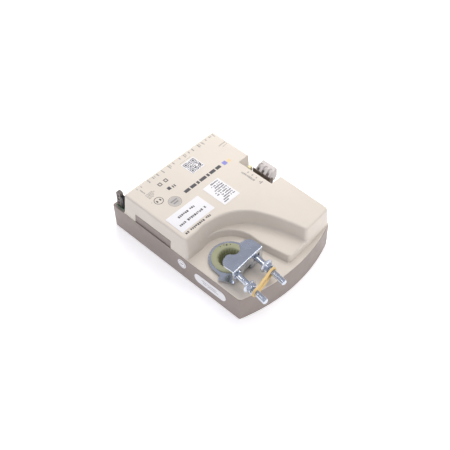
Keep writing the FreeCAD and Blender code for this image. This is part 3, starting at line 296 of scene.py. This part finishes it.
def ring_faces(rings, count, close_rings=False):
    """Quads between rings of count points each."""
    faces = []
    last = len(rings) if close_rings else len(rings) - 1
    for i in range(last):
        a, b = rings[i], rings[(i + 1) % len(rings)]
        for k in range(count):
            n = (k + 1) % count
            faces.append((a + k, a + n, b + n, b + k))
    return faces


# ---------------------------------------------------------------- hub
def hub_bore(angle):
    """Radius of the splined bore at an angle."""
    teeth, tip_radius, groove = 24, 8.62, 0.9
    t = (angle * teeth / (2 * math.pi)) % 1.0
    rise = min(1.0, max(0.0, (0.5 - abs(t - 0.5)) * 5.0 - 0.9))
    return tip_radius + groove * (1.0 - rise)


def make_hub():
    """Hub turned from one profile, with a splined bore and a bar on its front face."""
    count = 288
    low_step = 6.1
    # radius and height round the section; None stands for the splined bore
    profile = [(None, 0.0), (11.0, 0.0), (11.0, low_step), (12.2, low_step), (12.2, 20.5),
               (14.5, 22.4), (14.5, 26.75), (12.75, 26.8), (12.75, 28.35), (15.0, 28.36),
               (15.2, 28.5), (15.2, 28.7), (14.9, 28.88), (10.9, 28.9), (10.2, 28.5),
               (9.6, 27.7), (None, 26.4), (None, 25.0), (None, 13.0), (None, 0.6)]
    verts, rings = [], []
    for radius, z in profile:
        rings.append(len(verts))
        for a in circle_angles(count):
            r = radius if radius is not None else hub_bore(a)
            verts.append(clamp_point(r * math.cos(a), r * math.sin(a), z))
    faces = ring_faces(rings, count, close_rings=True)
    # front bar seen through the yoke's cut-out
    x0, x1, y1, z0, z1, corner = 12.0, 17.0, 6.0, 28.85, 31.3, 0.5
    bar = [(x0, -y1), (x1 - corner, -y1), (x1, -y1 + corner), (x1, y1 - corner), (x1 - corner, y1),
           (x0, y1)]
    base = len(verts)
    for z, inset in ((z0, 0.0), (z1 - corner, 0.0), (z1, corner)):
        for x, y in bar:
            sx = x - inset if x > x0 else x
            sy = y - math.copysign(inset, y)
            verts.append(clamp_point(sx, sy, z))
    n = len(bar)
    for i in range(2):
        for k in range(n):
            m = (k + 1) % n
            low, high = base + i * n, base + (i + 1) * n
            faces.append((low + k, low + m, high + m, high + k))
    faces.append(tuple(base + 2 * n + k for k in range(n)))
    faces.append(tuple(base + k for k in reversed(range(n))))
    hub = mesh_object("hub_detail", verts, faces, "hub_metal", "output")
    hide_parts("output_hub")


def make_index_marks():
    """Small dark marks on the hub's rim."""
    z, thick, steps = 28.96, 0.12, 14
    verts, faces = [], []

    def disc(x, y, rx, ry, turn):
        base = len(verts)
        for a in circle_angles(steps):
            u, v = rx * math.cos(a), ry * math.sin(a)
            verts.append(clamp_point(x + u * math.cos(turn) - v * math.sin(turn),
                                     y + u * math.sin(turn) + v * math.cos(turn), z))
        top = len(verts)
        verts.extend([(vx, vy, z - thick) for vx, vy, _ in verts[base:base + steps]])
        faces.append(tuple(range(base, base + steps)))
        faces.extend((base + k, base + (k + 1) % steps, top + (k + 1) % steps, top + k)
                     for k in range(steps))

    # azimuth in degrees, distance from the axis, and the two half widths
    for azimuth, radius, rx, ry in ((130.0, 13.6, 0.6, 0.5), (143.0, 13.4, 1.0, 0.7),
                                    (152.0, 14.0, 0.5, 0.45), (166.0, 13.8, 0.55, 0.5)):
        a = math.radians(azimuth)
        disc(radius * math.cos(a), radius * math.sin(a), rx, ry, a)
    mesh_object("hub_index_marks", verts, faces, "ink", "output")


# ---------------------------------------------------------------- clamp hardware
def make_u_bolt():
    """Threaded legs joined by a half-circle bend: a circle swept along the path, cut by the thread."""
    half, bend, end, right_end, radius = LEG_HALF, 20.2, 54.5, 50.0, 2.48
    pitch, depth, thread_from, run_out = 0.8, 0.14, 26.5, 1.5
    chamfer, slope = 0.45, 0.9
    segments, bend_steps = 24, 40
    # path rows: place, direction of travel, and distance along the leg for the thread
    path = []
    step = 0.1
    x = end
    while x > thread_from:
        path.append((x, -half, 1.0, 0.0, x))
        x -= step
    for x in (26.0, 24.5, 22.0, bend):
        path.append((x, -half, 1.0, 0.0, x))
    for k in range(1, bend_steps):
        a = math.pi * k / bend_steps
        path.append((bend - half * math.sin(a), -half * math.cos(a), math.cos(a), -math.sin(a), 0.0))
    mirrored = [(px, -py, -dx, dy, s) for px, py, dx, dy, s in reversed(path) if 0 < s <= right_end]
    path = path + mirrored
    verts, rings = [], []
    total = len(path)
    for i, (px, py, dx, dy, s) in enumerate(path):
        rings.append(len(verts))
        # outward normal in the plane, perpendicular to the direction of travel
        length = math.hypot(dx, dy)
        nx, ny = -dy / length, dx / length
        fade = 0.0
        if s > thread_from:
            fade = min(1.0, (s - thread_from) / run_out)
        side = 1.0 if py < 0 else -1.0
        tip = min(i, total - 1 - i) * step
        shrink = max(0.0, chamfer - tip) * slope
        for a in circle_angles(segments):
            phase = (s / pitch + side * a / (2 * math.pi)) % 1.0
            cut = abs(phase - 0.5) * 2.0
            r = radius - fade * depth * (1.0 - min(1.0, cut * 1.25)) - shrink
            verts.append(bolt_point(px + nx * r * math.cos(a), py + ny * r * math.cos(a),
                                    BOLT_LEVEL + r * math.sin(a)))
    faces = ring_faces(rings, segments)
    faces.append(tuple(rings[0] + k for k in range(segments)))
    faces.append(tuple(rings[-1] + k for k in reversed(range(segments))))
    bolt = mesh_object("u_bolt_detail", verts, faces, "zinc_steel", "clamp_bolt",
                       sharp=50.0)
    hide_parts("u_bolt")


def make_nut(node, body, side, x_face, turn):
    """Hexagon flange nut: dished flange, chamfered hexagon, countersunk bore."""
    count = 96
    flange, across, tall, foot = 5.85, 7.95, 5.0, 0.35
    reach = across / 2.0

    def hexagon(a):
        t = (a + turn) % (math.pi / 3.0) - math.pi / 6.0
        return reach / math.cos(t)

    # kind of row, radius and distance from the flange's face; a hex row is no wider than its radius
    rows = [("round", 3.0, 0.0), ("round", 5.3, 0.0), ("round", flange, 0.15), ("round", flange, 0.75),
            ("round", 5.5, 1.05), ("foot", 0.0, 1.45), ("hex", 9.0, 1.8), ("hex", 9.0, 3.6),
            ("hex", 4.45, 4.2), ("hex", 4.12, 4.75), ("hex", 3.9, tall), ("round", 3.2, tall),
            ("round", 2.75, tall - 0.45), ("round", 2.7, 2.5), ("round", 2.75, 0.4)]
    verts, rings = [], []
    for kind, value, x in rows:
        rings.append(len(verts))
        for a in circle_angles(count):
            if kind == "round":
                r = value
            elif kind == "foot":
                r = hexagon(a) + foot
            else:
                r = min(hexagon(a), value)
            verts.append(bolt_point(x_face + x, side * LEG_HALF + r * math.cos(a),
                                    BOLT_LEVEL + r * math.sin(a)))
    faces = ring_faces(rings, count, close_rings=True)
    nut = mesh_object(node + "_detail", verts, faces, "zinc_steel", body, sharp=25.0)
    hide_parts(node)


def make_band():
    """Flat rubber band pulled round both legs, a little slack in its upper run."""
    x_left, x_right = 42.7, 35.7
    skew = math.atan2(x_left - x_right, 2 * LEG_HALF)
    reach = LEG_HALF / math.cos(skew)
    mid_x = (x_left + x_right) / 2.0
    radius = 3.5
    straight, turn_steps = 26, 18
    # loop in its own plane: one flat run and one turn for each side
    loop = []
    for way, slack, start in ((1, 0.25, -math.pi / 2), (-1, 0.7, math.pi / 2)):
        for k in range(straight):
            t = k / straight
            loop.append((way * (2 * reach * t - reach), way * (slack * math.sin(math.pi * t) - radius)))
        for k in range(turn_steps):
            a = start + math.pi * k / turn_steps
            loop.append((way * reach + radius * math.cos(a), radius * math.sin(a)))
    section = []
    wide, thick = 1.1, 0.4
    for a in circle_angles(16):
        c, s = math.cos(a), math.sin(a)
        section.append((math.copysign(abs(c) ** 0.45, c) * wide, math.copysign(abs(s) ** 0.6, s) * thick))
    verts, rings = [], []
    n = len(loop)
    for i, (y, z) in enumerate(loop):
        ya, za = loop[i - 1]
        yb, zb = loop[(i + 1) % n]
        ty, tz = yb - ya, zb - za
        length = math.hypot(ty, tz)
        ny, nz = tz / length, -ty / length
        rings.append(len(verts))
        round_angle = 2 * math.pi * i / n
        sway = 0.25 * math.sin(round_angle * 3.0) + 0.15 * math.sin(round_angle * 7.0)
        for u, v in section:
            lx = u + sway
            ly = y + ny * v
            verts.append(bolt_point(mid_x + lx * math.cos(skew) - ly * math.sin(skew),
                                    lx * math.sin(skew) + ly * math.cos(skew),
                                    BOLT_LEVEL + z + nz * v))
    faces = ring_faces(rings, len(section), close_rings=True)
    band = mesh_object("rubber_band_detail", verts, faces, "rubber_band", "clamp_bolt",
                       sharp=80.0)
    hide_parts("retaining_band")


# ---------------------------------------------------------------- printing
TOP = 46.0          # plateau of the cover
FILM = 46.2         # top of a label on it
SIDE = 24.2         # face of a sticker on the near wall, towards -Y
INK = 0.035         # ink above its surface
SUNK = 0.02         # ink below its surface
RNG = random.Random(SEED)


def on_top(level):
    """Print that lies on a level face: u is X, v is Y."""
    return lambda u, v, lift: (u, v, level + lift)


def on_side(level):
    """Print on the near wall: u is X, v is Z."""
    return lambda u, v, lift: (u, -level - lift, v)


def printed(name, shapes, put, mat):
    """Thin raised ink: every shape is a closed outline, or a pair of outlines for a ring."""
    verts, faces = [], []
    for shape in shapes:
        ring = isinstance(shape, tuple)
        loops = list(shape) if ring else [shape]
        starts = []
        for loop in loops:
            for lift in (-SUNK, INK):
                starts.append(len(verts))
                verts.extend(put(u, v, lift) for u, v in loop)
        n = len(loops[0])
        for k in range(n):
            m = (k + 1) % n
            for low, high in zip(starts[0::2], starts[1::2]):
                faces.append((low + k, low + m, high + m, high + k))
            if ring:
                faces.append((starts[1] + k, starts[1] + m, starts[3] + m, starts[3] + k))
                faces.append((starts[0] + k, starts[0] + m, starts[2] + m, starts[2] + k))
        if not ring:
            faces.append(tuple(range(starts[1], starts[1] + n)))
            faces.append(tuple(range(starts[0] + n - 1, starts[0] - 1, -1)))
    return mesh_object(name, verts, faces, mat, "housing", smooth=False)


def rect(u0, v0, u1, v1):
    return [(u0, v0), (u1, v0), (u1, v1), (u0, v1)]


def circle_loop(u, v, radius, steps=40):
    return [(u + radius * math.cos(a), v + radius * math.sin(a)) for a in circle_angles(steps)]


def ring_shape(u, v, radius, width):
    return (circle_loop(u, v, radius), circle_loop(u, v, radius - width))


def words(start, end, centre, tall, along="v", wide=(0.5, 1.3), gap=0.45, breaks=0.12):
    """A line of plain strokes that stands for print and spells nothing."""
    shapes = []
    at = start
    while at < end - 0.3:
        size = min(RNG.uniform(*wide), end - at)
        high = tall * RNG.choice((1.0, 1.0, 0.72, 0.86))
        shift = (tall - high) / 2.0 * RNG.choice((-1.0, 1.0))
        low, top = centre - high / 2.0 + shift, centre + high / 2.0 + shift
        if along == "v":
            shapes.append(rect(low, at, top, at + size))
        else:
            shapes.append(rect(at, low, at + size, top))
        at += size + gap + (wide[1] if RNG.random() < breaks else 0.0)
    return shapes


def frame_shape(u0, v0, u1, v1, width):
    """A square-cornered frame, width wide."""
    return (rect(u0, v0, u1, v1), rect(u0 + width, v0 + width, u1 - width, v1 - width))


def make_fine_print():
    """Strokes beside the terminals and small print near the plateau's edges."""
    shapes = []
    rows = (2.7, 8.2, 13.0, 18.8, 26.1, 31.6, 39.1, 44.1, 49.7, 54.3, 61.1, 65.9, 70.6, 75.4, 79.4)
    for i, v in enumerate(rows):
        length = (3.9, 2.6, 3.2, 3.9, 4.2, 2.6, 2.2)[i % 7]
        shapes += words(-97.4, -97.4 + length, v, 1.15, "u", (0.7, 1.2), 0.25, 0.0)
        if i % 3 == 1:
            shapes += words(-97.2, -97.2 + length * 0.8, v + 1.7, 0.7, "u", (0.5, 0.9), 0.25, 0.0)
    shapes += words(-96.9, -94.9, -10.2, 0.9, "u", (0.6, 0.9), 0.25, 0.0)
    shapes += words(-96.6, -94.8, -5.8, 0.9, "u", (0.6, 0.9), 0.25, 0.0)
    shapes += words(-93.6, -87.8, -9.0, 1.1, "u", (0.6, 1.0), 0.3, 0.0)
    shapes += words(73.0, 80.6, -82.6, 1.1, "v", (0.5, 1.0), 0.35)
    shapes += words(75.2, 80.4, -79.7, 0.8, "v", (0.4, 0.8), 0.3)
    shapes += words(34.5, 47.5, -91.4, 0.45, "v", (0.3, 0.7), 0.25)
    printed("cover_print_fine", shapes, on_top(TOP), "ink_grey")


def make_small_print():
    """A block of small lines, and the marks beside the network notch."""
    shapes = []
    for i, end in enumerate((-2.0, -1.2, -2.6, -4.0, -5.4)):
        shapes += words(-10.4, end, -85.8 + 1.25 * i, 0.7, "v", (0.3, 0.7), 0.22)
    shapes.append(circle_loop(-76.1, -12.1, 0.35, 12))
    shapes += words(-46.8, -31.8, 63.6, 2.0, "u", (0.5, 1.1), 0.45, 0.0)
    shapes += [rect(x - 0.45, 66.2, x + 0.45, 67.8) for x in (-42.6, -37.8, -33.2)]
    shapes.append(rect(-27.0, 64.0, -26.1, 67.4))
    shapes.append(rect(-28.4, 65.0, -27.7, 66.4))
    printed("cover_print_small", shapes, on_top(TOP), "ink_grey")


def make_cover_marks():
    """Plain rings, frames, bars and patches where the cover has marks."""
    shapes = [ring_shape(-73.8, -6.5, 4.1, 0.55),
              rect(-74.9, -8.9, -72.7, -7.5), rect(-74.9, -5.6, -72.7, -4.2),
              frame_shape(-88.2, 5.0, -84.6, 8.4, 0.75), frame_shape(-88.2, 11.6, -84.6, 15.0, 0.75),
              rect(-79.4, 7.4, -76.0, 10.4), rect(-78.2, 12.0, -75.4, 13.0),
              rect(-78.2, 14.0, -75.4, 15.0)]
    printed("cover_marks", shapes, on_top(TOP), "ink")
    disc_u, disc_v, under = -63.6, 2.0, 0.6     # the disc is thinner, so that the bars stand on it
    printed("cover_mark_disc", [circle_loop(disc_u, disc_v, 5.0)],
            lambda u, v, lift: (u, v, TOP + lift * under), "ink_pale")
    shapes = [ring_shape(disc_u, disc_v, 5.75, 0.45),
              rect(-65.6, -1.4, -64.2, 5.4), rect(-63.0, -0.6, -61.6, 4.6)]
    printed("cover_mark_ring", shapes, on_top(TOP), "ink_grey")
    bars = ((14.6, 20.4), (21.6, 27.6), (28.8, 31.2), (32.4, 39.4), (40.6, 43.0), (44.2, 50.2),
            (51.4, 56.6))
    shapes = [rect(-66.6, v0, -63.4, v1) for v0, v1 in bars]
    printed("cover_title_bars", shapes, on_top(TOP), "ink")
    violet, amber = rect(-66.8, 59.6, -62.6, 63.6), rect(-65.6, 64.4, -62.4, 67.8)
    printed("cover_patch_violet", [violet], on_top(TOP), "ink_violet")
    printed("cover_patch_amber", [amber], on_top(TOP), "ink_amber")
    shapes = words(-16.4, 12.0, -32.4, 2.1, "v", (0.9, 1.7), 0.55)
    printed("cover_print_line", shapes, on_top(TOP), "ink")


def make_label_print():
    """Lines of strokes on the two labels with print."""
    shapes = words(-8.8, 9.0, -48.6, 2.1, "v", (0.9, 1.7), 0.55, 0.1)
    shapes += words(-14.0, 14.8, -41.4, 2.2, "v", (0.9, 1.7), 0.55, 0.12)
    printed("port_label_print", shapes, on_top(FILM), "ink")
    shapes = words(34.6, 43.2, -54.9, 1.4, "v", (0.5, 1.2), 0.3)
    for i in range(8):
        start = RNG.uniform(29.0, 35.0) if i else 33.0
        shapes += words(start, 43.4, -52.2 + 2.35 * i, 1.25, "v", (0.5, 1.2), 0.3, 0.12)
    shapes += words(29.0, 34.0, -33.6, 1.2, "v", (0.5, 1.0), 0.35)
    printed("spec_label_print", shapes, on_top(FILM), "ink")


def make_code_print():
    """Random square cells between three corner frames. They encode nothing."""
    cells, size, u0, v0 = 21, 0.6, -88.6, 34.9
    corner, filled, share = 7, 0.97, 0.5
    shapes = []
    corners = ((0, 0), (cells - corner, 0), (0, cells - corner))
    for a, b in corners:
        u, v = u0 + a * size, v0 + b * size
        shapes.append(frame_shape(u, v, u + corner * size, v + corner * size, size))
        shapes.append(rect(u + 2 * size, v + 2 * size, u + 5 * size, v + 5 * size))
    for i in range(cells):
        for j in range(cells):
            near = any(a - 1 <= i <= a + corner and b - 1 <= j <= b + corner for a, b in corners)
            if RNG.random() < share and not near:
                shapes.append(rect(u0 + i * size, v0 + j * size,
                                   u0 + (i + filled) * size, v0 + (j + filled) * size))
    printed("code_label_print", shapes, on_top(FILM), "ink")


def make_sticker_print():
    """Print on the two stickers of the near wall."""
    shapes = words(-8.6, 8.4, 14.6, 0.9, "u", (0.4, 1.0), 0.35)
    shapes += words(-6.8, 9.6, 12.3, 0.9, "u", (0.4, 1.0), 0.35)
    printed("oblong_sticker_print", shapes, on_side(SIDE), "ink_grey")
    shapes = [ring_shape(-31.1, 16.4, 3.5, 0.3), rect(-32.6, 15.9, -29.6, 16.9)]
    printed("round_sticker_print", shapes, on_side(SIDE), "ink_grey")


# ---------------------------------------------------------------- network plug and service board
def prism(verts, faces, outline, x0, x1):
    """Closed prism along X from an outline in Y and Z."""
    base, n = len(verts), len(outline)
    for x in (x0, x1):
        verts.extend((x, y, z) for y, z in outline)
    faces.extend((base + k, base + (k + 1) % n, base + n + (k + 1) % n, base + n + k) for k in range(n))
    faces.append(tuple(base + k for k in reversed(range(n))))
    faces.append(tuple(base + n + k for k in range(n)))


def make_network_plug():
    """Three-pole plug: a sloped wire face, cut by a groove and a well for every pole."""
    x0, x1, pitch, half = -43.4, -28.4, 5.08, 1.25
    body = [(75.9, 33.4), (85.2, 33.4), (87.7, 37.4), (87.7, 45.0), (87.1, 45.6), (81.4, 45.6), (77.2, 42.7),
            (76.3, 42.4), (75.9, 41.9)]
    well = body[:5] + [(83.6, 45.6), (83.0, 44.9), (81.0, 44.4), (79.7, 43.3), (79.7, 36.5), (77.3, 36.5),
                       (77.3, 42.2), (76.3, 41.9), (75.9, 41.4)]
    verts, faces = [], []
    at = x0
    for pole in (-1, 0, 1):
        centre = (x0 + x1) / 2.0 + pole * pitch
        prism(verts, faces, body, at, centre - half)
        prism(verts, faces, well, centre - half, centre + half)
        at = centre + half
    prism(verts, faces, body, at, x1)
    plug = mesh_object("network_plug_detail", verts, faces, "plug_grey", "plug_network",
                       smooth=False)
    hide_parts("network_plug")


def make_service_board():
    """Edge of the circuit board round the service socket, with its pads."""
    verts, faces = [], []
    top, low = 24.4, 22.8
    loops = (rect(-112.6, -21.9, -101.0, -15.8), rect(-111.8, -20.75, -103.4, -17.05))
    for loop in loops:
        for z in (low, top):
            verts.extend((x, y, z) for x, y in loop)
    for k in range(4):
        m = (k + 1) % 4
        faces.extend([(k, m, 4 + m, 4 + k), (8 + m, 8 + k, 12 + k, 12 + m), (4 + k, 4 + m, 12 + m, 12 + k),
                      (m, k, 8 + k, 8 + m)])
    mesh_object("service_board_edge", verts, faces, "board_green", "housing", smooth=False)
    pads = [rect(x, -21.6, x + 0.7, -21.0) for x in (-111.9, -109.6, -107.0, -104.8, -102.6)]
    pads += [rect(-102.6, y, -101.8, y + 0.6) for y in (-19.6, -18.2)]
    printed("service_board_pads", pads, on_top(top), "brass")


# the print comes first and in this order, because it draws from RNG
make_fine_print()
make_small_print()
make_cover_marks()
make_label_print()
make_code_print()
make_sticker_print()
make_network_plug()
make_service_board()
make_hub()
make_index_marks()
make_u_bolt()
make_nut("flange_nut_left", "nut_left", -1, NUT_LEFT_FACE, 0.35)
make_nut("flange_nut_right", "nut_right", 1, NUT_RIGHT_FACE, 0.1)
make_band()
for name, width in (("base_shell", 0.35), ("top_cover", 0.5), ("clamp_yoke", 0.25),
                    ("terminal_plug_a", 0.2), ("terminal_plug_b", 0.2), ("terminal_plug_c", 0.2),
                    ("network_header", 0.2), ("terminal_headers", 0.2)):
    soften(name, width)

# ---------------------------------------------------------------- floor, light, camera
scene = bpy.context.scene
scene.view_settings.view_transform = "Standard"


def make_floor():
    """White sheet that glows a little, just under the part. Its half width is in metres."""
    mesh = bpy.data.meshes.new("floor")
    size = 6.0
    mesh.from_pydata([(-size, -size, 0), (size, -size, 0), (size, size, 0), (-size, size, 0)], [],
                     [(0, 1, 2, 3)])
    floor = bpy.data.objects.new("floor", mesh)
    scene.collection.objects.link(floor)
    floor.location = (0, 0, -0.00005)
    mat, tree, shader = new_tree("floor_white")
    shader.inputs["Base Color"].default_value = (0.97, 0.965, 0.965, 1.0)
    shader.inputs["Roughness"].default_value = 0.9
    shader.inputs["Emission Color"].default_value = (1.0, 0.99, 0.99, 1.0)
    shader.inputs["Emission Strength"].default_value = 0.42
    mesh.materials.append(mat)


def area_light(name, place, target, size, power, colour, diffuse, glossy):
    """A rectangle of light in metres and watts, aimed from place at target."""
    data = bpy.data.lights.new(name, "AREA")
    data.shape = "RECTANGLE"
    data.size, data.size_y = size
    data.energy = power
    data.color = colour
    lamp = bpy.data.objects.new(name, data)
    scene.collection.objects.link(lamp)
    lamp.location = place
    aim = Vector(target) - Vector(place)
    lamp.rotation_euler = aim.to_track_quat("-Z", "Y").to_euler()
    lamp.visible_diffuse = diffuse
    lamp.visible_glossy = glossy


make_floor()
world = bpy.data.worlds.new("studio")
scene.world = world
world.use_nodes = True
background = world.node_tree.nodes["Background"]
background.inputs["Color"].default_value = (0.86, 0.88, 1.0, 1.0)
background.inputs["Strength"].default_value = 0.52
SOFT = {"diffuse": True, "glossy": False}       # lights surfaces and leaves no reflection
GLINT = {"diffuse": False, "glossy": True}      # shows only as a reflection
area_light("back_window", (-0.12, 0.24, 0.48), (-0.04, 0.04, 0.046), (0.6, 0.3), 1.3,
           (1.0, 0.955, 0.88), **SOFT)
area_light("soft_top", (0.1, 0.0, 1.3), (0.0, 0.02, 0.0), (1.2, 1.2), 1.8, (1.0, 0.97, 0.92), **SOFT)
area_light("front_fill", (-0.05, -0.62, 0.24), (-0.03, -0.02, 0.02), (0.9, 0.4), 0.42,
           (0.95, 0.95, 1.0), **SOFT)
area_light("back_glow", (-0.20, 0.19, 0.23), (-0.09, 0.05, 0.046), (0.3, 0.2), 0.34,
           (1.0, 0.99, 0.98), **SOFT)
area_light("end_fill", (0.58, 0.12, 0.22), (0.03, 0.03, 0.03), (0.4, 0.3), 0.55,
           (1.0, 0.98, 0.96), **SOFT)
area_light("fold_glint", (0.50, 0.33, 0.36), (0.02, 0.0, 0.04), (0.28, 0.12), 0.6,
           (1.0, 1.0, 1.0), **GLINT)
area_light("rod_glint", (-0.30, -0.27, 0.56), (0.03, 0.0, 0.036), (0.5, 0.06), 1.0,
           (1.0, 1.0, 1.0), **GLINT)

SENSOR_WIDTH = 36.0                     # millimetres, as is the lens
LENS = 67.8608
EYE = (0.2946, -0.3036, 0.5530)         # metres in the row frame
camera_data = bpy.data.cameras.new("photo_camera")
camera_data.sensor_width = SENSOR_WIDTH
camera_data.lens = LENS
camera_data.clip_start = 0.01
camera = bpy.data.objects.new("photo_camera", camera_data)
scene.collection.objects.link(camera)
forward = Vector((-0.46185, 0.46804, -0.75342)).normalized()
right = Vector((0.72268, 0.69105, -0.01372)).normalized()
up = right.cross(forward).normalized()
right = forward.cross(up).normalized()
rotation = Matrix((right, up, -forward)).transposed().to_4x4()
camera.matrix_world = Matrix.Translation(EYE) @ rotation
scene.camera = camera
